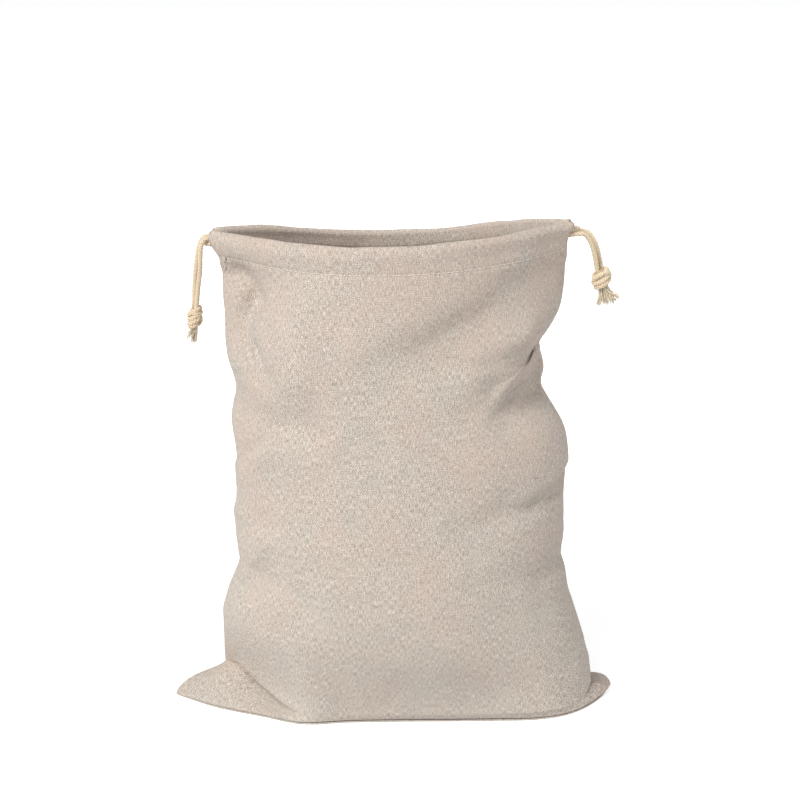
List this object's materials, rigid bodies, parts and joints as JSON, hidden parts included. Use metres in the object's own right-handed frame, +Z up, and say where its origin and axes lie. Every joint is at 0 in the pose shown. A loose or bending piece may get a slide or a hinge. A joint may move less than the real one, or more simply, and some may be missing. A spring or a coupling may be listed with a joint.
{
  "type": "cotton drawstring bag",
  "caption": "Plain woven cotton drawstring bag standing open and filled out, with a cased mouth, drawstrings knotted at each side and flat corners at its foot.",
  "frame": {"origin": "middle of the bag's box, on the surface that it stands on", "axes": "+X along the mouth towards the right as seen from the front, +Y from the front panel to the back panel, +Z up"},
  "size_m": [0.3046, 0.153, 0.3316],
  "materials": {
    "linen_cloth": "matte plain weave in natural linen and cotton",
    "cotton_cord": "matte plaited cotton cord in cream"
  },
  "bodies": {
    "root": {"front_panel": "linen_cloth", "back_panel": "linen_cloth", "drawstring_left": "cotton_cord", "drawstring_right": "cotton_cord", "knot_left": "cotton_cord", "knot_right": "cotton_cord", "frayed_end_left": "cotton_cord", "frayed_end_right": "cotton_cord"}
  },
  "joints": []
}
